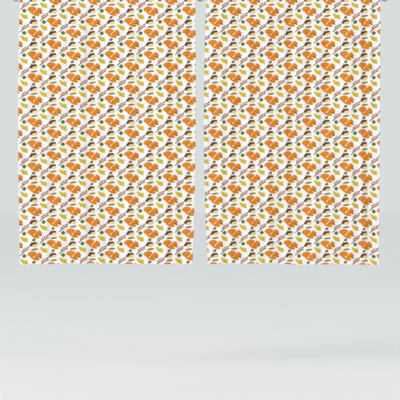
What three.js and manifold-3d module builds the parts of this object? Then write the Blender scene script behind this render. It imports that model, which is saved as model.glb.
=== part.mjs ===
// Window curtains on a rod: two gathered rod-pocket panels on a telescopic rod, which three wall
// brackets hold. Millimetres, +X along the rod, +Z up, the wall's face at y = 0 and the room
// towards -Y. The origin is the middle of the centre bracket's wall plate, on its back.
import * as THREE from 'three';
import { mergeVertices } from 'three/addons/utils/BufferGeometryUtils.js';
import Module from 'manifold-3d';

const wasm = await Module();
wasm.setup();

// ---- Curtain panels ----
const flatWidth = 698.5; // one panel laid flat, 27.5 in
const flatDrop = 990.6; // top fold to bottom edge laid flat, 39 in
const hungWidth = 616; // one panel gathered on the rod
const centreGap = 40; // between the two panels
const foldCount = 11; // waves across one panel
const clothThickness = 0.8; // one layer
const hemLayers = 3; // a double-turned hem
const pocketDepth = 60; // top fold to stitch line, laid flat
const sideHem = 16;
const bottomHem = 30;
const seamGap = 0.3; // between pieces that are sewn to each other
const pocketClearance = 0.3; // between the pocket's lining and the rod

// ---- Rod ----
const rodDiameter = 19; // the outer tube
const tubeWall = 0.8;
const telescopeGap = 0.7; // between the outer tube's bore and the inner tube
const slidingClearance = 0.15; // each side of the nylon bush, and round the end plugs
const innerShowing = 131; // inner tube that shows past the outer tube, with its plug
const innerSetback = 176; // from the rod's left end to the inner tube's hidden end
const rodOverhang = 16; // past an end bracket's middle
const bushFlange = 2.5;
const bushLength = 30; // inside the outer tube
const plugFlange = 2;
const plugLength = 22; // inside a tube

// ---- Finials ----
const studDiameter = 6;
const studLength = 34;
const studInBall = 10;
const collarDiameter = 24;
const collarLength = 12;
const neckDiameter = 12;
const neckLength = 4;
const ballDiameter = 38;
const threadClearance = 0.3;

// ---- Brackets ----
const projection = 75; // the wall's face to the rod's middle
const rodHeight = 6; // the rod's middle above the wall plates' middle
const bracketClearance = 24; // a panel's outer edge to the end bracket's middle
const plateWidth = 26;
const plateHeight = 70;
const plateThickness = 3;
const screwSpacing = 48;
const armDiameter = 10;
const armFlangeDiameter = 21;
const armFlangeLength = 4;
const cradleWidth = 16; // along the rod
const cradleWall = 3;
const cradleClearance = 0.3;
const cradleRise = 4; // cheeks above the rod's middle
const socketDiameter = 15;
const socketDepth = 7;
const bossDiameter = 11; // the clamp screw's threaded boss
const bossLength = 6;
const clampDiameter = 4;
const clampHeadDiameter = 13;
const clampHeadLength = 7;
const clampLobes = 10;
const clampReach = 2; // bare shank between the boss and the thumb head
const fitGap = 0.3; // between pieces that seat on each other

// ---- Wall fixings ----
const screwDiameter = 4;
const screwHeadDiameter = 8;
const screwLength = 34; // below the head's rim
const screwTip = 5;
const countersink = 2.2;
const recessWidth = 1.1;
const recessLength = 4.4;
const recessDepth = 1.2;
const wallPlugDiameter = 7;
const wallPlugLength = 30;
const wallPlugRecess = 2.4; // the plug's mouth sits below the wall's face
const wallPlugRibs = 2;

// ---- Worked out ----
const rodRadius = rodDiameter / 2;
const innerRadius = rodRadius - tubeWall - telescopeGap;
const rodY = -projection;
const outerEdge = centreGap / 2 + hungWidth;
const endBracketX = outerEdge + bracketClearance;
const rodEndX = endBracketX + rodOverhang;
const outerTubeEndX = rodEndX - innerShowing;
const tubeFacets = 28;
const barFacets = 20; // round an arm and its socket
const screwFacets = 12; // round the screws, studs and wall plugs

const finish = (color, roughness, metalness = 0) =>
  new THREE.MeshStandardMaterial({ color, roughness, metalness });
const cloth = finish(0xf3f1f4, 0.9);
const nickel = finish(0xb9b4ac, 0.35, 1);
const steel = finish(0xc9c9c7, 0.4, 1);
const nylon = finish(0xe9e7e0, 0.6);
const greyNylon = finish(0x9a9c9e, 0.6);

// ---- Helpers ----
// A closed mesh as a solid for booleans, and a solid as a mesh's geometry.
function toSolid(geometry) {
  const bare = geometry.index ? geometry.toNonIndexed() : geometry.clone();
  bare.deleteAttribute('normal');
  bare.deleteAttribute('uv');
  const merged = mergeVertices(bare, 1e-3);
  return new wasm.Manifold(new wasm.Mesh({
    numProp: 3,
    vertProperties: merged.attributes.position.array,
    triVerts: new Uint32Array(merged.index.array),
  }));
}

function toGeometry(solid) {
  const mesh = solid.getMesh();
  const geometry = new THREE.BufferGeometry();
  geometry.setAttribute('position', new THREE.BufferAttribute(mesh.vertProperties, 3));
  geometry.setIndex(new THREE.BufferAttribute(mesh.triVerts, 1));
  return geometry;
}

function joinAndCut(joined, cuts) {
  const whole = joined.map(toSolid).reduce((a, b) => a.add(b));
  return toGeometry(cuts.map(toSolid).reduce((a, b) => a.subtract(b), whole));
}

// A profile of [radius, height] points turned about the Y axis.
const turned = (profile, facets = tubeFacets) =>
  new THREE.LatheGeometry(profile.map(([r, h]) => new THREE.Vector2(r, h)), facets);

// A solid bar and a tube about the Y axis, from one height up to another.
const bar = (radius, from, to, facets = tubeFacets) =>
  turned([[0, from], [radius, from], [radius, to], [0, to]], facets);
const tube = (bore, radius, from, to, facets = tubeFacets) =>
  turned([[bore, from], [radius, from], [radius, to], [bore, to], [bore, from]], facets);

// Turns a shape made about the Y axis onto the rod's axis or the vertical.
const alongX = (geometry) => geometry.rotateZ(-Math.PI / 2);
const alongZ = (geometry) => geometry.rotateX(Math.PI / 2);

// Carries an outline drawn in (y, z) along the rod, centred on x = 0.
function extrudeAlongX(shape, width, curveSegments = 12) {
  const settings = { depth: width, bevelEnabled: false, curveSegments };
  const geometry = new THREE.ExtrudeGeometry(shape, settings);
  const axes = new THREE.Matrix4().makeBasis(
    new THREE.Vector3(0, 1, 0), new THREE.Vector3(0, 0, 1), new THREE.Vector3(1, 0, 0));
  return geometry.applyMatrix4(axes).translate(-width / 2, 0, 0);
}

const part = new THREE.Group();
function add(name, geometry, material, x = 0, y = 0, z = 0) {
  const mesh = new THREE.Mesh(geometry, material);
  mesh.name = name;
  mesh.position.set(x, y, z);
  part.add(mesh);
  return mesh;
}

// The value between low and high at which a rising function reaches its target.
function solve(rising, target, low, high) {
  for (let step = 0; step < 60; step += 1) {
    const middle = (low + high) / 2;
    if (rising(middle) < target) low = middle;
    else high = middle;
  }
  return (low + high) / 2;
}

// ---- Cloth ----
// A panel hangs in even waves, as deep as its flat width needs between its edges.
const waveLength = hungWidth / foldCount;
function clothInOneWave(depth) {
  const steps = 72;
  let length = 0;
  for (let i = 0; i < steps; i += 1) {
    const rise = Math.sin(2 * Math.PI * (i + 1) / steps) - Math.sin(2 * Math.PI * i / steps);
    length += Math.hypot(waveLength / steps, depth * rise);
  }
  return length;
}
const foldDepth = solve(clothInOneWave, flatWidth / foldCount, 0, waveLength);

// The pocket is a loop round the rod whose two sides run straight down to the stitch line.
const pocketRadius = rodRadius + pocketClearance;
function clothInPocket(reach) {
  const touch = Math.acos(pocketRadius / reach);
  return pocketRadius * (2 * Math.PI - 2 * touch) + 2 * Math.sqrt(reach ** 2 - pocketRadius ** 2);
}
const pocketReach = solve(clothInPocket, 2 * pocketDepth, pocketRadius * 1.01, 2 * pocketDepth);
const outerReach = pocketReach * (pocketRadius + clothThickness) / pocketRadius;
const seamZ = rodHeight - outerReach;
const hemZ = seamZ - (flatDrop - pocketDepth);

// A round-topped loop that comes to a point below the rod's middle.
function pocketLoop(radius, reach) {
  const touch = Math.acos(radius / reach);
  const loop = new THREE.Shape();
  loop.moveTo(rodY, rodHeight - reach);
  loop.lineTo(rodY + radius * Math.sin(touch), rodHeight - radius * Math.cos(touch));
  loop.absarc(rodY, rodHeight, radius, touch - Math.PI / 2, 3 * Math.PI / 2 - touch, false);
  loop.closePath();
  return loop;
}

function header() {
  const shape = pocketLoop(pocketRadius + clothThickness, outerReach);
  shape.holes.push(pocketLoop(pocketRadius, pocketReach));
  return extrudeAlongX(shape, hungWidth, 14);
}

// A stretch of the waves between two places across the panel and two heights. Places are
// counted from the leading edge, and side is -1 on the left panel and 1 on the right.
function waves(side, from, to, bottom, top, layers) {
  const perWave = 6;
  const steps = Math.max(2, Math.ceil((to - from) / waveLength * perWave));
  const half = layers * clothThickness / 2;
  const front = [], back = [];
  for (let i = 0; i <= steps; i += 1) {
    const across = from + (to - from) * i / steps;
    const x = side * (centreGap / 2 + across);
    const y = rodY + foldDepth * Math.sin(2 * Math.PI * across / waveLength);
    front.push(new THREE.Vector2(x, y - half));
    back.push(new THREE.Vector2(x, y + half));
  }
  const outline = new THREE.Shape([...front, ...back.reverse()]);
  return new THREE.ExtrudeGeometry(outline, { depth: top - bottom, bevelEnabled: false })
    .translate(0, 0, bottom);
}

function addPanel(name, side) {
  const top = seamZ - seamGap;
  const inner = sideHem + seamGap;
  const outer = hungWidth - sideHem - seamGap;
  add(name + '_rod_pocket', header(), cloth, side * (centreGap + hungWidth) / 2);
  add(name + '_skirt', waves(side, inner, outer, hemZ + bottomHem + seamGap, top, 1), cloth);
  add(name + '_bottom_hem', waves(side, inner, outer, hemZ, hemZ + bottomHem, hemLayers), cloth);
  add(name + '_leading_hem', waves(side, 0, sideHem, hemZ, top, hemLayers), cloth);
  add(name + '_outer_hem', waves(side, hungWidth - sideHem, hungWidth, hemZ, top, hemLayers), cloth);
}

// ---- Rod ----
// A plug fills a tube's end, with a flange as wide as the tube and a hole for the finial's stud.
function endPlug(tubeRadius) {
  const plugRadius = tubeRadius - tubeWall - slidingClearance;
  const hole = studDiameter / 2 + threadClearance;
  return alongX(turned([
    [hole, -plugLength], [plugRadius, -plugLength], [plugRadius, 0],
    [tubeRadius, 0], [tubeRadius, plugFlange], [hole, plugFlange], [hole, -plugLength],
  ]));
}

// The bush lines the outer tube's mouth, and its flange caps the tube's end.
function bush() {
  const bore = innerRadius + slidingClearance;
  const sleeve = rodRadius - tubeWall - slidingClearance;
  return alongX(turned([
    [bore, -bushLength], [sleeve, -bushLength], [sleeve, 0],
    [rodRadius, 0], [rodRadius, bushFlange], [bore, bushFlange], [bore, -bushLength],
  ]));
}

function addRod() {
  const flangeGap = plugFlange + fitGap;
  add('outer_tube', alongX(tube(rodRadius - tubeWall, rodRadius, flangeGap - rodEndX,
    outerTubeEndX)), nickel, 0, rodY, rodHeight);
  add('inner_tube', alongX(tube(innerRadius - tubeWall, innerRadius, innerSetback - rodEndX,
    rodEndX - flangeGap)), nickel, 0, rodY, rodHeight);
  add('telescope_bush', bush(), greyNylon, outerTubeEndX + fitGap, rodY, rodHeight);
  const left = add('left_end_plug', endPlug(rodRadius), greyNylon,
    plugFlange - rodEndX, rodY, rodHeight);
  left.rotation.y = Math.PI;
  add('right_end_plug', endPlug(innerRadius), greyNylon, rodEndX - plugFlange, rodY, rodHeight);
}

// ---- Finials ----
const studRadius = studDiameter / 2;
const ballMiddle = collarLength + neckLength + ballDiameter / 2;

function finialCollar() {
  const hole = studRadius + threadClearance;
  const rim = collarDiameter / 2;
  const neck = neckDiameter / 2;
  const lip = collarLength / 3;
  return alongX(turned([
    [hole, 0], [rim - 1, 0], [rim, 1], [rim, lip - 1], [rim - 1, lip],
    [rim - 3, lip + 0.5], [neck + 2, collarLength - 2], [neck + 0.5, collarLength],
    [hole, collarLength], [hole, 0],
  ]));
}

// A ball on a short neck, bored from below for the stud.
function finialBall() {
  const radius = ballDiameter / 2;
  const hole = studRadius + threadClearance;
  const start = Math.asin(neckDiameter / 2 / radius);
  const base = collarLength + fitGap;
  const boreEnd = base + neckLength + studInBall;
  const steps = 11;
  const profile = [[0, boreEnd], [hole, boreEnd], [hole, base], [neckDiameter / 2 + 1, base],
    [neckDiameter / 2 + 1, base + 1.5]];
  for (let i = 0; i <= steps; i += 1) {
    const turn = start + (Math.PI - start) * i / steps;
    profile.push([i === steps ? 0 : radius * Math.sin(turn), ballMiddle - radius * Math.cos(turn)]);
  }
  return alongX(turned(profile));
}

function addFinial(name, side) {
  const studEnd = collarLength + neckLength + studInBall;
  const pieces = [
    [name + '_finial_stud', alongX(bar(studRadius, studEnd - studLength, studEnd, screwFacets)), steel],
    [name + '_finial_collar', finialCollar(), nickel],
    [name + '_finial_ball', finialBall(), nickel],
  ];
  for (const [piece, geometry, material] of pieces) {
    const mesh = add(piece, geometry, material, side * (rodEndX + fitGap), rodY, rodHeight);
    if (side < 0) mesh.rotation.y = Math.PI;
  }
}

// ---- Brackets ----
// A countersunk hole's cutter, from behind the plate out past its face, about the Y axis.
function countersunkHole(shank, rim) {
  return turned([[0, -plateThickness - 1], [rim, -plateThickness - 1], [rim, -plateThickness],
    [shank, countersink - plateThickness], [shank, 1], [0, 1]], barFacets);
}

function wallPlate() {
  const radius = plateWidth / 2;
  const straight = plateHeight / 2 - radius;
  const outline = new THREE.Shape();
  outline.absarc(0, straight, radius, 0, Math.PI, false);
  outline.absarc(0, -straight, radius, Math.PI, 2 * Math.PI, false);
  const bevel = 0.8;
  const slab = new THREE.ExtrudeGeometry(outline, {
    depth: plateThickness - bevel, bevelThickness: bevel, bevelSize: bevel, bevelOffset: -bevel,
    bevelSegments: 1, curveSegments: 9,
  }).rotateX(Math.PI / 2);
  // The bevel is wanted on the room side alone, so the slab is trimmed flat at the wall.
  const trim = new THREE.BoxGeometry(2 * plateWidth, 10, 2 * plateHeight).translate(0, 5, 0);
  const holes = [-1, 1].map((end) => countersunkHole(screwDiameter / 2 + 0.4,
    screwHeadDiameter / 2 + 0.4).translate(0, 0, end * screwSpacing / 2));
  return joinAndCut([slab], [trim, ...holes]);
}

// The arm's flange seats on the plate, and its far end sits in the cradle's socket.
function arm(tubeRadius) {
  const start = -plateThickness - fitGap;
  const end = tubeRadius + cradleClearance + cradleWall + fitGap - projection;
  const seat = start - armFlangeLength;
  const stem = armDiameter / 2;
  const flange = armFlangeDiameter / 2;
  return turned([
    [0, end], [stem, end], [stem, seat - 3], [stem + 1.5, seat],
    [flange - 1, seat], [flange, seat + 1], [flange, start], [0, start],
  ], barFacets);
}

// A U open at the top, drawn round the rod, with a socket for the arm behind and a boss for
// the clamp screw below.
function cradle(tubeRadius) {
  const inner = tubeRadius + cradleClearance;
  const outer = inner + cradleWall;
  const shape = new THREE.Shape();
  shape.moveTo(-outer, cradleRise);
  shape.absarc(0, 0, outer, Math.PI, 2 * Math.PI, false);
  shape.lineTo(outer, cradleRise);
  shape.lineTo(inner, cradleRise);
  shape.absarc(0, 0, inner, 2 * Math.PI, Math.PI, true);
  shape.lineTo(-inner, cradleRise);
  shape.closePath();
  const u = extrudeAlongX(shape, cradleWidth, 10);
  const socket = bar(socketDiameter / 2, inner + 1, outer + socketDepth, barFacets)
    .translate(0, 0, -rodHeight);
  const seat = bar(armDiameter / 2 + fitGap, outer, outer + socketDepth + 1, barFacets)
    .translate(0, 0, -rodHeight);
  const bossEnd = -outer - bossLength;
  const boss = alongZ(bar(bossDiameter / 2, bossEnd, -inner - 1, barFacets));
  const thread = alongZ(bar(clampDiameter / 2 + threadClearance, bossEnd - 1, -inner + 2,
    screwFacets));
  return joinAndCut([u, socket, boss], [seat, thread]);
}

// A thumb screw: a scalloped head under a plain shank that ends just below the rod.
function clampScrew(tubeRadius) {
  const top = -tubeRadius - fitGap;
  const headTop = -tubeRadius - cradleClearance - cradleWall - bossLength - clampReach;
  const shank = alongZ(bar(clampDiameter / 2, headTop - 1, top, screwFacets));
  const scallops = new THREE.Shape();
  const steps = 4 * clampLobes;
  for (let i = 0; i < steps; i += 1) {
    const turn = 2 * Math.PI * i / steps;
    const radius = clampHeadDiameter / 2 - 0.5 + 0.5 * Math.cos(clampLobes * turn);
    if (i === 0) scallops.moveTo(radius, 0);
    else scallops.lineTo(radius * Math.cos(turn), radius * Math.sin(turn));
  }
  scallops.closePath();
  const head = new THREE.ExtrudeGeometry(scallops, { depth: clampHeadLength, bevelEnabled: false })
    .translate(0, 0, headTop - clampHeadLength);
  return joinAndCut([shank, head], []);
}

// A countersunk wood screw with a cross recess, whose head's rim is at y = 0.
function wallScrew() {
  const shank = screwDiameter / 2;
  const head = turned([
    [0, 0], [screwHeadDiameter / 2, 0], [shank, countersink], [shank, screwLength - screwTip],
    [0.5, screwLength], [0, screwLength],
  ], screwFacets);
  const slot = [0, Math.PI / 2].map((turn) =>
    new THREE.BoxGeometry(recessLength, 2 * recessDepth, recessWidth).rotateY(turn));
  return joinAndCut([head], slot);
}

// A ribbed sleeve, open at both ends, whose mouth is at y = 0.
function wallPlug() {
  const bore = screwDiameter / 2 + 0.3;
  const radius = wallPlugDiameter / 2;
  const pitch = wallPlugLength / (wallPlugRibs + 1);
  const profile = [[bore, 0], [radius, 0]];
  for (let i = 1; i <= wallPlugRibs; i += 1) {
    profile.push([radius, i * pitch - 2], [radius - 0.6, i * pitch], [radius, i * pitch]);
  }
  profile.push([radius - 0.6, wallPlugLength], [bore, wallPlugLength], [bore, 0]);
  return turned(profile, screwFacets);
}

function addBracket(name, x, tubeRadius) {
  add(name + '_wall_plate', wallPlate(), nickel, x);
  add(name + '_arm', arm(tubeRadius), nickel, x);
  add(name + '_cradle', cradle(tubeRadius), nickel, x, rodY, rodHeight);
  add(name + '_clamp_screw', clampScrew(tubeRadius), steel, x, rodY, rodHeight);
  const fixings = [['upper', 1], ['lower', -1]];
  for (const [place, end] of fixings) {
    const z = end * screwSpacing / 2;
    add(name + '_' + place + '_screw', wallScrew(), steel, x, -plateThickness, z);
    add(name + '_' + place + '_wall_plug', wallPlug(), nylon, x, wallPlugRecess, z);
  }
}

addRod();
addFinial('left', -1);
addFinial('right', 1);
addBracket('left', -endBracketX, rodRadius);
addBracket('centre', 0, rodRadius);
addBracket('right', endBracketX, innerRadius);
addPanel('left', -1);
addPanel('right', 1);

export default part;
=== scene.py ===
# Window curtains on a rod: printed cloth, stitching and polished hardware round the fixed frame.
# Metres throughout, +X along the rod, +Z up, the wall's face at y = 0 and the room towards -Y.
import math

import bmesh
import bpy
import numpy as np
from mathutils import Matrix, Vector


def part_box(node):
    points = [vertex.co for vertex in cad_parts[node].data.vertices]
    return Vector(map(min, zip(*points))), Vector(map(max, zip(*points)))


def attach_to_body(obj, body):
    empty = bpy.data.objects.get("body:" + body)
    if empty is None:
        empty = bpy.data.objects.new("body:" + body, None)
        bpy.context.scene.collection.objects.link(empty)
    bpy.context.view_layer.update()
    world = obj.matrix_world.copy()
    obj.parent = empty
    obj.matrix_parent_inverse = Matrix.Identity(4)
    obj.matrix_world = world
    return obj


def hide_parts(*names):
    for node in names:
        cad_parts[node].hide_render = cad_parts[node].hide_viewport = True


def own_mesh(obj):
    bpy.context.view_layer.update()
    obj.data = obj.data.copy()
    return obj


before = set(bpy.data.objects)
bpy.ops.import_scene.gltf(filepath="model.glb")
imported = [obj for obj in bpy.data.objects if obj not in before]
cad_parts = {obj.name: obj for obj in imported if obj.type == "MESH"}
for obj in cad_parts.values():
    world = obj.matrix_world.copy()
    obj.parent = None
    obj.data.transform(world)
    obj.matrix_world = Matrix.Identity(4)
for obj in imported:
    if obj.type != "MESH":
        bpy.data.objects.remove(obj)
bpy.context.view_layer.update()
mm = 0.001
turn = 2 * math.pi
print("frame loaded:", len(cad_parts), "nodes")


def box(node):
    # a node's lowest and highest corners and its middle, as arrays
    low, high = np.array(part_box(node))
    return low, high, (low + high) / 2


tubeLow, tubeHigh, tubeMiddle = box("outer_tube")
rod = {"y": tubeMiddle[1], "z": tubeMiddle[2], "radius": (tubeHigh[2] - tubeLow[2]) / 2}


def show(thing):
    bpy.context.scene.collection.objects.link(thing)
    return thing


def makePiece(name, points, faces, uv=None, sharp=None):
    # points and faces become an object at the origin; uv holds one pair for each point
    mesh = bpy.data.meshes.new(name)
    mesh.from_pydata(np.asarray(points).tolist(), [], np.asarray(faces).tolist())
    mesh.polygons.foreach_set("use_smooth", np.ones(len(mesh.polygons), bool))
    if uv is not None:
        corner = np.empty(len(mesh.loops), np.int32)
        mesh.loops.foreach_get("vertex_index", corner)
        layer = mesh.uv_layers.new(name="clothLength")
        layer.data.foreach_set("uv", np.asarray(uv, np.float32)[corner].ravel())
    if sharp:
        mesh.set_sharp_from_angle(angle=math.radians(sharp))
    return show(bpy.data.objects.new(name, mesh))


def gridFaces(rows, columns, ringRows=False, ringColumns=False):
    # quads of a rows by columns grid, each going down a row and then along a column
    i = np.arange(rows if ringRows else rows - 1)[:, None]
    j = np.arange(columns if ringColumns else columns - 1)[None, :]
    below, beside = (i + 1) % rows, (j + 1) % columns
    corners = [i * columns + j, below * columns + j, below * columns + beside, i * columns + beside]
    return np.stack([np.broadcast_to(c, (i.size, j.size)) for c in corners], -1).reshape(-1, 4)


def weld(piece, sharp=35):
    # merges doubled points, so seams and poles close, and turns every face outward
    work = bmesh.new()
    work.from_mesh(piece.data)
    bmesh.ops.remove_doubles(work, verts=work.verts, dist=1e-6)
    bmesh.ops.recalc_face_normals(work, faces=work.faces)
    work.to_mesh(piece.data)
    work.free()
    piece.data.set_sharp_from_angle(angle=math.radians(sharp))
    return piece


def lathe(name, profile, middle, along, steps=56, shape=None, closed=False, sharp=35):
    # A profile of (radius, height) turned about the axis "along" through middle. shape(radius,
    # height, angle) may change the radius from place to place.
    profile = np.array(profile, float)
    angle = np.arange(steps) * turn / steps
    radius = np.repeat(profile[:, :1], steps, 1)
    height = np.repeat(profile[:, 1:], steps, 1)
    if shape is not None:
        radius = shape(radius, height, angle[None, :])
    axis = np.eye(3)["xyz".index(along[-1])] * (-1 if along[0] == "-" else 1)
    first = np.roll(np.abs(axis), 1)
    second = np.cross(axis, first)
    points = (np.array(middle) + height[..., None] * axis
              + (radius * np.cos(angle))[..., None] * first
              + (radius * np.sin(angle))[..., None] * second)
    faces = gridFaces(len(profile), steps, closed, True)
    return weld(makePiece(name, points.reshape(-1, 3), faces), sharp)


def rounded(profile, size, closed=False, steps=3):
    # each corner of a profile is cut back by size and replaced by an arc-like curve through
    # the two cuts, which bends towards the corner
    points = np.array(profile, float)
    out = []
    for k, corner in enumerate(points):
        if not closed and k in (0, len(points) - 1):
            out.append(corner)
            continue
        sides = [points[k - 1] - corner, points[(k + 1) % len(points)] - corner]
        lengths = [np.hypot(*s) for s in sides]
        cut = min(size, 0.45 * min(lengths))
        start, end = (corner + s / length * cut for s, length in zip(sides, lengths))
        for t in np.linspace(0, 1, steps):
            out.append((1 - t) ** 2 * start + 2 * t * (1 - t) * corner + t ** 2 * end)
    return np.array(out)


def operator(operation, first=True):
    return lambda flow, other: flow.calc(operation, other, first=first)


class Flow:
    # a socket whose operators add Math nodes
    def __init__(self, paint, socket):
        self.paint = paint
        self.socket = socket

    def calc(self, operation, *others, clamp=False, first=True):
        values = (self, *others) if first else (*others, self)
        return self.paint.node("ShaderNodeMath", {"operation": operation, "use_clamp": clamp},
                               dict(enumerate(values)))

    def __neg__(self):
        return self.calc("MULTIPLY", -1.0)

    __add__ = __radd__ = operator("ADD")
    __sub__ = operator("SUBTRACT")
    __rsub__ = operator("SUBTRACT", False)
    __mul__ = __rmul__ = operator("MULTIPLY")
    __truediv__ = operator("DIVIDE")


class Paint:
    # a material whose Principled shader takes the fixed values given
    def __init__(self, name, **fixed):
        self.material = bpy.data.materials.new(name)
        self.material.use_nodes = True
        self.tree = self.material.node_tree
        self.shader = self.tree.nodes["Principled BSDF"]
        for key, value in fixed.items():
            self.shader.inputs[key.replace("_", " ")].default_value = value

    def feed(self, socket, value):
        if isinstance(value, Flow):
            self.tree.links.new(value.socket, socket)
        else:
            socket.default_value = value

    def node(self, kind, settings=None, sockets=None, out=0):
        made = self.tree.nodes.new(kind)
        for key, value in (settings or {}).items():
            setattr(made, key, value)
        for key, value in (sockets or {}).items():
            self.feed(made.inputs[key], value)
        return Flow(self, made.outputs[out])

    def vector(self, operation, *values, out=0):
        return self.node("ShaderNodeVectorMath", {"operation": operation},
                         dict(enumerate(values)), out)

    def scaled(self, place, *scale):
        return self.vector("MULTIPLY", place, (*scale, 0)[:3])

    def split(self, vector):
        return [self.node("ShaderNodeSeparateXYZ", {}, {0: vector}, k) for k in range(3)]

    def join(self, x, y, z=0.0):
        return self.node("ShaderNodeCombineXYZ", {}, {0: x, 1: y, 2: z})

    def mix(self, low, high, factor):
        return self.node("ShaderNodeMix", {"data_type": "RGBA"}, {0: factor, 6: low, 7: high}, 2)

    def noise(self, place, scale, detail=2.0, roughness=0.5):
        return self.node("ShaderNodeTexNoise", {}, {
            "Vector": place, "Scale": scale, "Detail": detail, "Roughness": roughness})

    def objectPlace(self):
        return self.node("ShaderNodeTexCoord", {}, {}, 3)

    def bump(self, height, distance, strength=1.0, under=None):
        sockets = {"Height": height, "Distance": distance, "Strength": strength}
        if under is not None:
            sockets["Normal"] = under
        return self.node("ShaderNodeBump", {}, sockets)

    def finish(self, **looks):
        for key, value in looks.items():
            self.feed(self.shader.inputs[key.replace("_", " ")], value)
        return self.material


def rgb(red, green, blue):
    # a display colour from 0 to 255 as the linear one that shaders take
    def linear(value):
        value /= 255
        return value / 12.92 if value <= 0.04045 else ((value + 0.055) / 1.055) ** 2.4
    return (linear(red), linear(green), linear(blue), 1.0)


# Small motifs on a half-drop repeat. Each motif is a few soft-edged ovals, whose places, sizes
# and turns are in millimetres and degrees from the motif's own middle.

printed = {
    "column": 75.5,  # millimetres of cloth from one column of motifs to the next
    "drop": 78.46,  # down the cloth, and the next column is half of it lower
    "edge": 0.5,
    "spread": 0.55,  # how far the ink has run past each outline
    "waver": (0.9, 0.9, 0),
}
inks = {  # display colours
    "ground": (252, 252, 251), "groundCool": (246, 246, 248), "orange": (226, 136, 0),
    "orangeDeep": (214, 120, 0), "orangePale": (234, 146, 34), "brown": (84, 44, 34),
    "brownHatch": (108, 66, 50), "cream": (240, 217, 146), "creamRib": (234, 208, 134),
    "olive": (134, 126, 28), "oliveRib": (152, 144, 50), "oliveDark": (122, 112, 8),
    "olivePale": (142, 132, 30), "yellow": (209, 188, 52), "yellowPale": (222, 204, 84),
    "yellowVein": (198, 178, 42), "gold": (240, 214, 110), "green": (70, 114, 32),
    "greenRib": (104, 146, 66), "stem": (106, 74, 84), "berry": (150, 82, 70),
    "berryPale": (246, 214, 198), "seed": (70, 56, 52),
}
inks = {name: rgb(*colour) for name, colour in inks.items()}


class Motif:
    # places on the cloth measured from the nearest copy of a motif's middle
    def __init__(self, paint, x, y, right, up):
        wide, high = printed["column"], printed["drop"]
        self.paint = paint
        column = ((x - right) / wide + 0.5).calc("FLOOR")
        self.x = (x - right) - column * wide
        lowered = (y - up) - column * (high / 2)
        self.y = lowered - (lowered / high + 0.5).calc("FLOOR") * high
        self.place = paint.join(self.x, self.y)

    def oval(self, right, up, across, tall, degrees=0):
        # about the distance inside an oval's edge, in millimetres, negative outside it
        local = self.paint.node("ShaderNodeMapping", {"vector_type": "TEXTURE"}, {
            "Vector": self.place, "Location": (right, up, 0),
            "Rotation": (0, 0, math.radians(degrees)), "Scale": (across, tall, 1)})
        return (1.0 - self.paint.vector("LENGTH", local, out=1)) * min(across, tall)

    def union(self, *ovals):
        whole = self.oval(*ovals[0])
        for oval in ovals[1:]:
            whole = whole.calc("MAXIMUM", self.oval(*oval))
        return whole


def inside(distance, edge=None):
    # 0 outside and 1 inside, over a soft edge
    spread = printed["spread"] if edge is None else 0.0
    return ((distance + spread) / (edge or printed["edge"]) + 0.5).calc("ADD", 0.0, clamp=True)


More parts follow.
